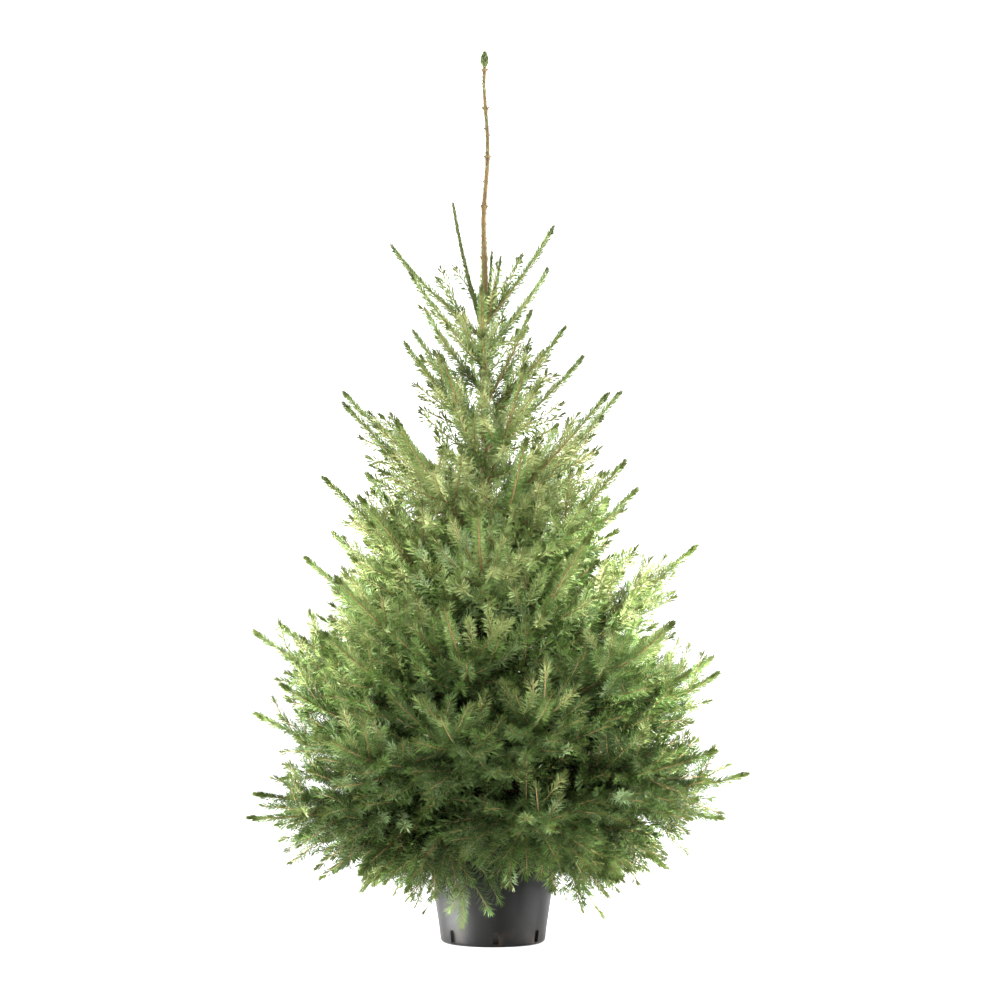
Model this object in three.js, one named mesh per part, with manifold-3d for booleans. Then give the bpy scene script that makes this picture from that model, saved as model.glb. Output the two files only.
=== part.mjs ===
// A young spruce in a round nursery pot: pot, soil, trunk, boughs and masses of needle sprays.
// Millimetres, +Z up. The origin is the middle of the pot's flat underside.
// The crown grows by one seeded rule: branches spiral up the trunk, and twigs leave each branch on all sides.
import * as THREE from "three";
import { mergeVertices } from "three/addons/utils/BufferGeometryUtils.js";
import Module from "manifold-3d";

const { lerp, smoothstep, degToRad, clamp } = THREE.MathUtils;
const wasm = await Module();
wasm.setup();

// Overall height, from the floor to the tip of the leader, and the clearance between neighbouring solids.
const TOTAL_HEIGHT = 1500;
const GAP = 0.3;

// Pot: a thin tapering shell with a lip, a rounded foot and upright drain slots.
const POT_HEIGHT = 180;
const POT_BASE_RADIUS = 87;
const POT_TOP_RADIUS = 114;
const POT_WALL = 2.4;
const POT_FLOOR = 3;
const POT_FOOT_ROUND = 7;
const LIP_OUT = 3;
const LIP_DEPTH = 13;
const SLOT_COUNT = 7;
const SLOT_WIDTH = 10.5;
const SLOT_LOW = 5;
const SLOT_HIGH = 26;
const SLOT_TURN = 3; // degrees from the front to the first slot
const SLOT_CUT_DEPTH = 28;
const POT_SIDES = 32;

// Soil: fills the pot to a little below the lip, level round the trunk and lower at the wall.
const SOIL_TOP = 158;
const SOIL_EDGE_DROP = 7;
const SOIL_LEVEL_RADIUS = 45;
const SOIL_SIDES = 24;

// Trunk: flared at the soil, tapering through the crown, with a slim bare leader above the top whorl.
const TRUNK_FOOT = SOIL_TOP + GAP;
const TRUNK_RADIUS = 13.5;
const WHORL_RADIUS = 5.2;
const LEADER_TIP_RADIUS = 2.4;
const FLARE = 9;
const FLARE_HEIGHT = 16;
const LEAN = -14; // sideways drift of the trunk's axis, complete at LEAN_HEIGHT
const LEAN_HEIGHT = 700;
const SWAY = 2.6;
const SWAY_PITCH = 95;
const SWAY_TURN = 2; // radians between the sway to the side and the sway to the back
const TRUNK_SIDES = 8;
const TRUNK_STEPS = 16;
const FLARE_CROWDING = 1.7; // over 1 sets the trunk's rings closer together in the flare
const TIP_TUFT = 30; // needles round the leader's end bud
const TIP_TUFT_BARE = 5;
const TIP_TUFT_REACH = 7;

// Branches: BOUGHS of them have a bare limb below their foliage, the rest leave the trunk already clothed.
const SEED = 20263;
const STREAM = 977;
const BRANCHES = 36;
const BOUGHS = 20;
const LOWEST_BRANCH = 204;
const TOP_WHORL = 1050;
const SKIRT_CROWDING = 2.2; // over 1 sets the branches closer together towards the skirt
const WHORL_CROWDING = 1.5; // over 1 sets them closer together towards the top whorl
const FIRST_AZIMUTH = 320;
const GOLDEN_ANGLE = 137.508;
const AZIMUTH_JITTER = 9;
const REACH_JITTER = 0.09;
const RISE_JITTER = 14;
const PATH_STEPS = 20;
const BARE_SHARE = 0.17;
const BOUGH_RADIUS = 5.6;
const SHOOT_RADIUS = 3.4;
const SHOOT_TIP_RADIUS = 1.3;
const BOUGH_SIDES = 6;
const BOUGH_STEPS = 2;

// How a branch grows at each level of the crown: reach out from the trunk and rise at its tip, the slopes in
// degrees at which it leaves the trunk and ends, how far its twigs lift (or hang) towards their tips, how far
// needles stand out of its sprays, the share of its length that is a single end shoot, and a twig's length
// against its distance from the branch tip.
const CROWN = [
  { level: 0.0, reach: 280, rise: -85, leave: 10, end: -50, lift: -0.6, needle: 25, shoot: 0.22, twig: 0.64 },
  { level: 0.03, reach: 386, rise: -50, leave: 8, end: -18, lift: -0.35, needle: 25, shoot: 0.22, twig: 0.64 },
  { level: 0.05, reach: 448, rise: 15, leave: 6, end: 14, lift: 0.1, needle: 25, shoot: 0.23, twig: 0.62 },
  { level: 0.07, reach: 458, rise: 75, leave: 8, end: 24, lift: 0.25, needle: 25, shoot: 0.25, twig: 0.6 },
  { level: 0.09, reach: 448, rise: 120, leave: 12, end: 30, lift: 0.35, needle: 25, shoot: 0.27, twig: 0.6 },
  { level: 0.13, reach: 398, rise: 175, leave: 18, end: 36, lift: 0.4, needle: 25, shoot: 0.29, twig: 0.58 },
  { level: 0.2, reach: 365, rise: 225, leave: 25, end: 40, lift: 0.4, needle: 25, shoot: 0.31, twig: 0.56 },
  { level: 0.25, reach: 350, rise: 235, leave: 28, end: 41, lift: 0.4, needle: 24, shoot: 0.33, twig: 0.55 },
  { level: 0.31, reach: 310, rise: 235, leave: 31, end: 42, lift: 0.4, needle: 23, shoot: 0.35, twig: 0.54 },
  { level: 0.38, reach: 292, rise: 232, leave: 32, end: 43, lift: 0.4, needle: 22, shoot: 0.37, twig: 0.52 },
  { level: 0.57, reach: 282, rise: 222, leave: 33, end: 45, lift: 0.35, needle: 20, shoot: 0.42, twig: 0.48 },
  { level: 0.69, reach: 205, rise: 174, leave: 36, end: 48, lift: 0.35, needle: 17, shoot: 0.45, twig: 0.48 },
  { level: 0.8, reach: 145, rise: 142, leave: 42, end: 52, lift: 0.3, needle: 13, shoot: 0.5, twig: 0.5 },
  { level: 1.0, reach: 145, rise: 145, leave: 44, end: 56, lift: 0.3, needle: 8, shoot: 0.85, twig: 0.45 },
];

// Twigs: spaced back along the branch from its end shoot, to its sides and below by turns.
const TWIG_SPACING = 17.5;
const TWIG_LONGEST = 165;
const TWIG_SHORTEST = 40;
const TWIG_ANGLE = 42;
const TWIG_ROLLS = [65, -65, 150, -105, 105, -150]; // turns of the twigs round the branch, 0 is up
const ANGLE_JITTER = 8;
const ROLL_JITTER = 22;
const LENGTH_JITTER = 0.16;
const TWIG_BEND = 0.35;
const TWIG_RADIUS = 2.6;
const TWIG_TIP_RADIUS = 1.1;
const TWIG_STEPS = 6;
const SHORTENINGS = [1, 0.75, 0.55]; // a twig in another's way is shortened before it is left out

// Needles: the spikes of a spray, larger than life and fewer.
const NEEDLE_TIP_SHARE = 0.5; // reach of the last needles on a spray against the first
const NEEDLE_LEAN = 0.55; // forward lean against reach
const NEEDLE_STEP = 40;
const NEEDLE_ROOT = 9; // bare length where a twig leaves its branch
const TWIG_FOOT_DEPTH = 1.2; // how far past its branch's axis a twig's foot is sunk
const STEM_STEP = 60; // length of one straight stretch of bare stem
const STEM_SIDES = 4;
const CLOTHED_FROM = 26; // distance from its foot at which a twig starts to need room
const TWIG_RODS = 3;
const BOUGH_RODS = 2;
const BRANCH_RODS = 6;
const SPACE_MARGIN = 1.5;
const SIBLING_SHARE = 0.6; // room between twigs of one branch against twigs of two

const COLOURS = {
  pot: new THREE.MeshStandardMaterial({ color: 0x36373a, roughness: 0.45, metalness: 0 }),
  soil: new THREE.MeshStandardMaterial({ color: 0x2b211a, roughness: 0.95, metalness: 0 }),
  bark: new THREE.MeshStandardMaterial({ color: 0x7d664a, roughness: 0.85, metalness: 0 }),
  needles: new THREE.MeshStandardMaterial({ color: 0x5d7a3a, roughness: 0.6, metalness: 0 }),
};

const UP = new THREE.Vector3(0, 0, 1);
const NEARLY_UPRIGHT = 0.98;

// A repeatable stream of numbers from 0 to 1.
function seeded(seed) {
  let state = seed >>> 0;
  return () => {
    state = (state + 0x6d2b79f5) >>> 0;
    let mixed = Math.imul(state ^ (state >>> 15), state | 1);
    mixed ^= mixed + Math.imul(mixed ^ (mixed >>> 7), mixed | 61);
    return ((mixed ^ (mixed >>> 14)) >>> 0) / 4294967296;
  };
}

// A draw from -1 to 1.
function spread(draw) {
  return 2 * draw() - 1;
}

// Paths: points with the running length to each of them.

function measured(points) {
  const lengths = [0];
  for (let i = 1; i < points.length; i += 1) {
    lengths.push(lengths[i - 1] + points[i].distanceTo(points[i - 1]));
  }
  return { points, lengths, total: lengths.at(-1) };
}

// The place and heading at a distance along a path.
function along(path, distance) {
  let i = 1;
  while (i < path.points.length - 1 && path.lengths[i] < distance) i += 1;
  const share = (distance - path.lengths[i - 1]) / (path.lengths[i] - path.lengths[i - 1]);
  const at = path.points[i - 1].clone().lerp(path.points[i], share);
  const ahead = path.points[i].clone().sub(path.points[i - 1]).normalize();
  return { at, ahead };
}

// Directions across and above a heading.
function frameOf(ahead) {
  const side = Math.abs(ahead.z) > NEARLY_UPRIGHT ? new THREE.Vector3(0, 1, 0) : UP;
  const across = side.clone().cross(ahead).normalize();
  const above = ahead.clone().cross(across);
  return { across, above };
}

// Shortest distance between two straight segments.
function segmentGap(a, b, c, d) {
  const u = b.clone().sub(a);
  const v = d.clone().sub(c);
  const w = a.clone().sub(c);
  const uu = u.dot(u);
  const vv = v.dot(v);
  const uv = u.dot(v);
  const uw = u.dot(w);
  const vw = v.dot(w);
  const cross = uu * vv - uv * uv;
  let s = cross > 1e-9 ? clamp((uv * vw - vv * uw) / cross, 0, 1) : 0;
  const t = clamp((uv * s + vw) / vv, 0, 1);
  s = clamp((uv * t - uw) / uu, 0, 1);
  return w.addScaledVector(u, s).addScaledVector(v, -t).length();
}

// Solids: closed lofts through rings of points, and their joins and cuts.

// A ring has one place for each side: its radius there, and how far it leans ahead.
function ringPoints(at, ahead, radii, lean) {
  const { across, above } = frameOf(ahead);
  return radii.map((radius, side) => {
    const angle = (2 * Math.PI * side) / radii.length;
    return at
      .clone()
      .addScaledVector(across, radius * Math.cos(angle))
      .addScaledVector(above, radius * Math.sin(angle))
      .addScaledVector(ahead, lean[side]);
  });
}

function evenRing(at, ahead, radius, sides) {
  return ringPoints(at, ahead, Array(sides).fill(radius), Array(sides).fill(0));
}

// Joins rings into a closed skin that ends flat, or in a point where one is given. Each quad is split along
// its shorter diagonal, so that spikes stay sharp.
function loft(rings, { foot, tip } = {}) {
  const points = rings.flat();
  const sides = rings[0].length;
  const last = rings.length - 1;
  const faces = [];
  const index = (ring, side) => ring * sides + (side % sides);
  for (let ring = 0; ring < last; ring += 1) {
    for (let side = 0; side < sides; side += 1) {
      const [a, b] = [index(ring, side), index(ring, side + 1)];
      const [c, d] = [index(ring + 1, side), index(ring + 1, side + 1)];
      const shortBC = points[b].distanceTo(points[c]) <= points[a].distanceTo(points[d]);
      faces.push(...(shortBC ? [a, b, c, b, d, c] : [a, b, d, a, d, c]));
    }
  }
  const close = (ring, point, isTip) => {
    const centre = point ? points.push(point) - 1 : index(ring, 0);
    for (let side = point ? 0 : 1; side < (point ? sides : sides - 1); side += 1) {
      const [a, b] = [index(ring, side), index(ring, side + 1)];
      faces.push(...(isTip ? [centre, a, b] : [centre, b, a]));
    }
  };
  close(0, foot, false);
  close(last, tip, true);
  const geometry = new THREE.BufferGeometry().setFromPoints(points);
  geometry.setIndex(faces);
  return geometry;
}

function toSolid(geometry) {
  const bare = geometry.clone();
  bare.deleteAttribute("normal");
  bare.deleteAttribute("uv");
  const merged = mergeVertices(bare, 1e-4);
  const mesh = new wasm.Mesh({
    numProp: 3,
    vertProperties: new Float32Array(merged.attributes.position.array),
    triVerts: new Uint32Array(merged.index.array),
  });
  return new wasm.Manifold(mesh);
}

function toGeometry(solid) {
  const mesh = solid.getMesh();
  const geometry = new THREE.BufferGeometry();
  geometry.setAttribute("position", new THREE.BufferAttribute(mesh.vertProperties, 3));
  geometry.setIndex(new THREE.BufferAttribute(mesh.triVerts, 1));
  geometry.computeVertexNormals();
  return geometry;
}

// The largest single body of a solid, without any scrap that a join or cut leaves loose.
function mainBody(solid) {
  const bodies = solid.decompose();
  return bodies.reduce((best, body) => (body.volume() > best.volume() ? body : best));
}

function named(name, geometry, material) {
  const mesh = new THREE.Mesh(geometry, material);
  mesh.name = name;
  return mesh;
}

const numbered = (word, index) => `${word}_${String(index + 1).padStart(2, "0")}`;

// Pot and soil.

// Outer radius of the pot's wall at a height.
function potRadius(height) {
  return lerp(POT_BASE_RADIUS, POT_TOP_RADIUS, clamp(height / POT_HEIGHT, 0, 1));
}

// A profile of [radius, height] pairs turned about the upright axis.
function turned(profile, sides) {
  const geometry = new THREE.LatheGeometry(
    profile.map(([radius, height]) => new THREE.Vector2(radius, height)),
    sides,
  );
  return geometry.rotateX(Math.PI / 2);
}

function makePot() {
  const lipFoot = POT_HEIGHT - LIP_DEPTH;
  const lipRadius = POT_TOP_RADIUS + LIP_OUT;
  const inner = (height) => potRadius(height) - POT_WALL;
  const round = POT_FOOT_ROUND;
  const foot = [0, 0.5, 1].map((share) => [
    potRadius(round) - round + round * Math.sin((share * Math.PI) / 2),
    round - round * Math.cos((share * Math.PI) / 2),
  ]);
  const profile = [
    [0, 0],
    ...foot,
    [potRadius(lipFoot), lipFoot],
    [lipRadius, lipFoot + LIP_OUT],
    [lipRadius, POT_HEIGHT],
    [inner(POT_HEIGHT), POT_HEIGHT],
    [inner(POT_FLOOR), POT_FLOOR],
    [0, POT_FLOOR],
  ];
  let shell = toSolid(turned(profile, POT_SIDES));
  for (let slot = 0; slot < SLOT_COUNT; slot += 1) {
    const angle = degToRad(SLOT_TURN - 90 + (360 * slot) / SLOT_COUNT);
    const cutter = new THREE.BoxGeometry(SLOT_CUT_DEPTH, SLOT_WIDTH, SLOT_HIGH - SLOT_LOW);
    cutter.translate(POT_BASE_RADIUS, 0, (SLOT_LOW + SLOT_HIGH) / 2);
    cutter.rotateZ(angle);
    shell = shell.subtract(toSolid(cutter));
  }
  return named("pot", toGeometry(shell), COLOURS.pot);
}

function makeSoil() {
  const foot = POT_FLOOR + GAP;
  const edge = SOIL_TOP - SOIL_EDGE_DROP;
  const radius = (height) => potRadius(height) - POT_WALL - 2 * GAP;
  const profile = [
    [0, foot],
    [radius(foot), foot],
    [radius(edge), edge],
    [SOIL_LEVEL_RADIUS, SOIL_TOP],
    [0, SOIL_TOP],
  ];
  return named("soil", toGeometry(toSolid(turned(profile, SOIL_SIDES))), COLOURS.soil);
}

// Trunk.

function trunkCentre(height) {
  const risen = height - TRUNK_FOOT;
  const lean = LEAN * smoothstep(risen, 0, LEAN_HEIGHT);
  const sway = SWAY * Math.min(1, risen / LEAN_HEIGHT);
  const x = lean + sway * Math.sin(height / SWAY_PITCH);
  const y = sway * Math.sin(height / SWAY_PITCH + SWAY_TURN);
  return new THREE.Vector3(x, y, height);
}

function trunkRadius(height) {
  const low = clamp((height - TRUNK_FOOT) / (TOP_WHORL - TRUNK_FOOT), 0, 1);
  const high = clamp((height - TOP_WHORL) / (TOTAL_HEIGHT - TOP_WHORL), 0, 1);
  const shaft = lerp(lerp(TRUNK_RADIUS, WHORL_RADIUS, low), LEADER_TIP_RADIUS, high);
  return shaft + FLARE * Math.exp((TRUNK_FOOT - height) / FLARE_HEIGHT);
}

// The trunk's skin, grown outwards by a clearance.
function trunkLoft(clearance) {
  const top = TOTAL_HEIGHT - TIP_TUFT;
  const rings = [];
  for (let step = 0; step <= TRUNK_STEPS; step += 1) {
    const height = lerp(TRUNK_FOOT, top, (step / TRUNK_STEPS) ** FLARE_CROWDING);
    const radius = trunkRadius(height) + clearance;
    rings.push(evenRing(trunkCentre(height), UP, radius, TRUNK_SIDES));
  }
  return loft(rings);
}

// Branches.

function formAt(level) {
  const upper = CROWN.findIndex((row) => row.level >= level);
  const above = CROWN[Math.max(upper, 1)];
  const below = CROWN[Math.max(upper, 1) - 1];
  const share = (level - below.level) / (above.level - below.level);
  const between = (key) => lerp(below[key], above[key], share);
  return Object.fromEntries(Object.keys(above).map((key) => [key, between(key)]));
}

// A heading at a compass angle and a slope above level, in degrees.
function heading(azimuth, slope) {
  const [turn, tilt] = [degToRad(azimuth), degToRad(slope)];
  return new THREE.Vector3(Math.cos(turn) * Math.cos(tilt), Math.sin(turn) * Math.cos(tilt), Math.sin(tilt));
}

function growBranch(index) {
  const draw = seeded(SEED + STREAM * index);
  const rank = index / (BRANCHES - 1);
  const level = 1 - (1 - rank ** SKIRT_CROWDING) ** WHORL_CROWDING;
  const form = formAt(level);
  const azimuth = FIRST_AZIMUTH + index * GOLDEN_ANGLE + spread(draw) * AZIMUTH_JITTER;
  const reach = form.reach * (1 + spread(draw) * REACH_JITTER);
  const rise = form.rise + spread(draw) * RISE_JITTER;
  const root = trunkCentre(lerp(LOWEST_BRANCH, TOP_WHORL, level));
  const tip = root.clone().addScaledVector(heading(azimuth, 0), reach).addScaledVector(UP, rise);
  const third = root.distanceTo(tip) / 3;
  const leaving = root.clone().addScaledVector(heading(azimuth, form.leave), third);
  const arriving = tip.clone().addScaledVector(heading(azimuth, form.end), -third);
  const curve = new THREE.CubicBezierCurve3(root, leaving, arriving, tip);
  const path = measured(curve.getPoints(PATH_STEPS));
  const hasBough = index < BOUGHS;
  const bare = hasBough ? BARE_SHARE * path.total : 0;
  const girth = hasBough ? lerp(BOUGH_RADIUS, SHOOT_RADIUS, index / BOUGHS) : SHOOT_RADIUS;
  const endShoot = form.shoot * path.total;
  return { index, draw, form, path, hasBough, bare, girth, endShoot };
}

function limbRadius(branch, distance) {
  return lerp(branch.girth, SHOOT_TIP_RADIUS, distance / branch.path.total);
}

// The twigs that a branch would like to grow, from its tip back to its foot.
function wantedTwigs(branch) {
  const { draw, path, form } = branch;
  const twigs = [];
  const leafy = path.total - branch.bare - branch.endShoot - NEEDLE_ROOT;
  for (let place = 0; place * TWIG_SPACING < leafy; place += 1) {
    const fromTip = branch.endShoot + place * TWIG_SPACING;
    const { at, ahead } = along(path, path.total - fromTip);
    const { across, above } = frameOf(ahead);
    const turn = degToRad(TWIG_ROLLS[place % TWIG_ROLLS.length] + spread(draw) * ROLL_JITTER);
    const angle = degToRad(TWIG_ANGLE + spread(draw) * ANGLE_JITTER);
    const wanted = Math.min(TWIG_LONGEST, form.twig * fromTip) * (1 + spread(draw) * LENGTH_JITTER);
    const outward = above.clone().multiplyScalar(Math.cos(turn)).addScaledVector(across, Math.sin(turn));
    const away = ahead.clone().multiplyScalar(Math.cos(angle)).addScaledVector(outward, Math.sin(angle));
    const bend = ahead.clone().multiplyScalar(TWIG_BEND).addScaledVector(UP, form.lift);
    twigs.push({ owner: branch.index, foot: at, away, bend, wanted, needle: form.needle });
  }
  return twigs;
}

function twigPath(twig, length) {
  const points = [];
  for (let step = 0; step <= TWIG_STEPS; step += 1) {
    const t = step / TWIG_STEPS;
    const place = twig.foot.clone().addScaledVector(twig.away, t * length);
    points.push(place.addScaledVector(twig.bend, 0.5 * t * t * length));
  }
  return measured(points);
}

// Space: each limb and spray is a chain of round-ended rods, and sprays of different branches stay apart.

// How far needles reach at a share of a spray's length, against their reach at its foot.
function needleTaper(share) {
  return lerp(1, NEEDLE_TIP_SHARE, share);
}

function rods(owner, path, from, to, radiusAt, count) {
  const made = [];
  for (let i = 0; i < count; i += 1) {
    const [near, far] = [lerp(from, to, i / count), lerp(from, to, (i + 1) / count)];
    made.push({ owner, a: along(path, near).at, b: along(path, far).at, radius: radiusAt(near) });
  }
  return made;
}

// Whether a rod keeps clear of the pot and of the floor under it.
function clearOfPot(rod) {
  return [rod.a, rod.b].every((end) => {
    const reach = rod.radius + SPACE_MARGIN;
    const wall = potRadius(end.z) + LIP_OUT + reach;
    return end.z > reach && (end.z > POT_HEIGHT + reach || Math.hypot(end.x, end.y) > wall);
  });
}

// Whether a rod keeps clear of all others. Twigs of one branch may come closer, and may touch the branch.
function clearOf(rod, others) {
  return others.every((other) => {
    const apart = rod.radius + other.radius + SPACE_MARGIN;
    const least = other.owner === rod.owner ? (other.isTwig ? SIBLING_SHARE * apart : 0) : apart;
    return segmentGap(rod.a, rod.b, other.a, other.b) >= least;
  });
}

// Gives each branch the twigs that fit, taking the branches in turn so that none crowds out the rest.
function settleTwigs(branches, occupied) {
  const queues = branches.map(wantedTwigs);
  const deepest = Math.max(...queues.map((queue) => queue.length));
  const settled = branches.map(() => []);
  for (let place = 0; place < deepest; place += 1) {
    for (const queue of queues.filter((each) => place < each.length)) {
      const twig = queue[place];
      for (const share of SHORTENINGS) {
        const length = share * twig.wanted;
        if (length < TWIG_SHORTEST) break;
        const path = twigPath(twig, length);
        const radiusAt = (distance) => twig.needle * needleTaper(distance / path.total);
        const space = rods(twig.owner, path, CLOTHED_FROM, path.total, radiusAt, TWIG_RODS);
        if (space.every((rod) => clearOfPot(rod) && clearOf(rod, occupied))) {
          occupied.push(...space.map((rod) => ({ ...rod, isTwig: true })));
          settled[twig.owner].push(path);
          break;
        }
      }
    }
  }
  return settled;
}

// A ring of bare stem.
function stemRing(path, distance, radiusAt) {
  const { at, ahead } = along(path, distance);
  return evenRing(at, ahead, radiusAt(distance), STEM_SIDES);
}

function stemRings(path, from, to, radiusAt) {
  const steps = Math.max(1, Math.round((to - from) / STEM_STEP));
  const shares = Array.from({ length: steps + 1 }, (_, step) => step / steps);
  return shares.map((share) => stemRing(path, lerp(from, to, share), radiusAt));
}

// The rings of a needle-clad stem: two needles stand out of each ring, crosswise to those of the ring before.
function needleRings(path, from, radiusAt, reach) {
  const clothed = path.total - from;
  const count = Math.max(2, Math.round(clothed / NEEDLE_STEP) - 1);
  return Array.from({ length: count }, (_, ring) => {
    const distance = from + (clothed * (ring + 1)) / (count + 1);
    const { at, ahead } = along(path, distance);
    const needle = reach * needleTaper(distance / path.total);
    const standing = Array.from({ length: STEM_SIDES }, (unused, side) => (side + ring) % 2 === 0);
    const radii = standing.map((stands) => (stands ? needle : radiusAt(distance)));
    const lean = standing.map((stands) => (stands ? NEEDLE_LEAN * needle : 0));
    return ringPoints(at, ahead, radii, lean);
  });
}

// A twig's spray, whose pointed foot is sunk in its branch.
function twigSpray(path, reach) {
  const radiusAt = (distance) => lerp(TWIG_RADIUS, TWIG_TIP_RADIUS, distance / path.total);
  const { at, ahead } = along(path, 0);
  const foot = at.clone().addScaledVector(ahead, -TWIG_FOOT_DEPTH);
  const rings = [stemRing(path, NEEDLE_ROOT, radiusAt), ...needleRings(path, NEEDLE_ROOT, radiusAt, reach)];
  return toSolid(loft(rings, { foot, tip: path.points.at(-1) }));
}

function makeBough(branch, trunkClear) {
  const rings = [];
  for (let step = 0; step <= BOUGH_STEPS; step += 1) {
    const distance = (branch.bare * step) / BOUGH_STEPS;
    const { at, ahead } = along(branch.path, distance);
    rings.push(evenRing(at, ahead, limbRadius(branch, distance), BOUGH_SIDES));
  }
  const limb = mainBody(toSolid(loft(rings)).subtract(trunkClear));
  return named(numbered("bough", branch.index), toGeometry(limb), COLOURS.bark);
}

// One branch's foliage: its own leading shoot and its twigs, joined into one body.
function makeFoliage(branch, twigPaths, trunkClear) {
  const { path, form, endShoot } = branch;
  const radiusAt = (distance) => limbRadius(branch, distance);
  const from = branch.hasBough ? branch.bare + GAP : 0;
  const stem = stemRings(path, from, path.total - endShoot, radiusAt);
  const rings = [...stem, ...needleRings(path, path.total - endShoot, radiusAt, form.needle)];
  const leading = toSolid(loft(rings, { tip: path.points.at(-1) }));
  const twigs = twigPaths.map((twig) => twigSpray(twig, form.needle));
  let mass = wasm.Manifold.union([leading, ...twigs]);
  if (!branch.hasBough) mass = mass.subtract(trunkClear);
  return named(numbered("foliage", branch.index), toGeometry(mainBody(mass)), COLOURS.needles);
}

function makeLeaderTuft() {
  const foot = trunkCentre(TOTAL_HEIGHT - TIP_TUFT + GAP);
  const path = measured([foot, foot.clone().setZ(TOTAL_HEIGHT)]);
  const radiusAt = () => LEADER_TIP_RADIUS;
  const stem = stemRings(path, 0, TIP_TUFT_BARE, radiusAt);
  const rings = [...stem, ...needleRings(path, TIP_TUFT_BARE, radiusAt, TIP_TUFT_REACH)];
  return named("leader_tuft", loft(rings, { tip: path.points.at(-1) }), COLOURS.needles);
}

// The rods of a branch's own limb and leading shoot.
function branchRods(branch) {
  const { index, path, bare, girth, form, endShoot } = branch;
  const limb = branch.hasBough ? rods(index, path, 0, bare, () => girth, BOUGH_RODS) : [];
  const clad = (distance) => (distance < path.total - endShoot ? girth : form.needle);
  return [...limb, ...rods(index, path, bare, path.total, clad, BRANCH_RODS)];
}

function trunkRods() {
  return Array.from({ length: TRUNK_STEPS }, (_, step) => {
    const [low, high] = [step, step + 1].map((each) => lerp(TRUNK_FOOT, TOTAL_HEIGHT, each / TRUNK_STEPS));
    return { owner: "trunk", a: trunkCentre(low), b: trunkCentre(high), radius: trunkRadius(low) };
  });
}

// The whole plant.

const plant = new THREE.Group();
plant.add(makePot(), makeSoil());
plant.add(named("trunk", trunkLoft(0), COLOURS.bark), makeLeaderTuft());

const trunkClear = toSolid(trunkLoft(GAP / Math.cos(Math.PI / TRUNK_SIDES)));
const branches = Array.from({ length: BRANCHES }, (_, index) => growBranch(index));
const twigPaths = settleTwigs(branches, [...branches.flatMap(branchRods), ...trunkRods()]);
for (const branch of branches) {
  if (branch.hasBough) plant.add(makeBough(branch, trunkClear));
  plant.add(makeFoliage(branch, twigPaths[branch.index], trunkClear));
}

export default plant;
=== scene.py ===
import math
from dataclasses import dataclass
from functools import cache
from typing import NamedTuple

import bpy
import numpy as np
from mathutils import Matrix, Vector, noise


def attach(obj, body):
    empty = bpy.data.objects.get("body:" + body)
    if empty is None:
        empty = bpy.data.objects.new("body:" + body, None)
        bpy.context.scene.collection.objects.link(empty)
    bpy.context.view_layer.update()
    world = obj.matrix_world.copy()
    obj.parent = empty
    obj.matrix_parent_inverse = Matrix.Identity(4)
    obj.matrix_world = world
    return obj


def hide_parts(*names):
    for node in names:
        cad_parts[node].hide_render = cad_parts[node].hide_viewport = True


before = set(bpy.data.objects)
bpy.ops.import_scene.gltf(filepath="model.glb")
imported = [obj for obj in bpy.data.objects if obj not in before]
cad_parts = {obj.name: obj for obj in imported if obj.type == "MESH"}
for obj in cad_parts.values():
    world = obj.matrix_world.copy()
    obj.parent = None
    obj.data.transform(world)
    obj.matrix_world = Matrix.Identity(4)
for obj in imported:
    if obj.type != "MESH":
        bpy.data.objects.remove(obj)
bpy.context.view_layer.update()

# Pot, in metres
POT_HEIGHT = 0.180
POT_BASE_RADIUS = 0.087
POT_TOP_RADIUS = 0.114
POT_WALL = 0.0024
POT_FLOOR = 0.003
POT_FLOOR_DRAFT = 0.006
POT_FOOT_ROUND = 0.007
POT_UNDERSIDE = (0.0, 0.030, 0.060)
POT_INSIDE_FLOOR = (0.030, 0.0)
POT_WALL_FROM = 0.020
POT_INSIDE_FROM = 0.150
POT_INSIDE_TO = POT_FLOOR + 0.008
POT_SEGMENTS = 160
POT_SHARP = math.radians(34)
LIP_OUT = 0.003
LIP_DEPTH = 0.013
LIP_ROUND = 0.0012
LIP_SHOULDER = 0.002
SLOT_COUNT = 7
SLOT_WIDTH = 0.0105
SLOT_LOW = 0.005
SLOT_HIGH = 0.026
SLOT_TURN = math.radians(3)
SLOT_CUT_DEPTH = 0.028
SLOT_CUT_OUT = 0.012

# Soil
SOIL_TOP = 0.158
SOIL_EDGE_DROP = 0.007
SOIL_LEVEL_RADIUS = 0.045
SOIL_MIDDLE_RADIUS = 0.004
SOIL_BASE_RADII = (0.020, POT_BASE_RADIUS - POT_WALL - 0.003)
SOIL_CLEAR = 0.0006
SOIL_GRAIN = 0.0011
SOIL_GRAIN_SCALE = 90
SOIL_GRAIN_MEAN = 0.6
SOIL_RINGS = 34
SOIL_SEGMENTS = 96
CRUMB_COUNT = 420
CRUMB_STREAM = 5
CRUMB_SIZE = (0.0012, 0.0038)
CRUMB_INNERMOST = 0.024
CRUMB_BELT = 0.078
CRUMB_LIFT = 0.2

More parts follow.
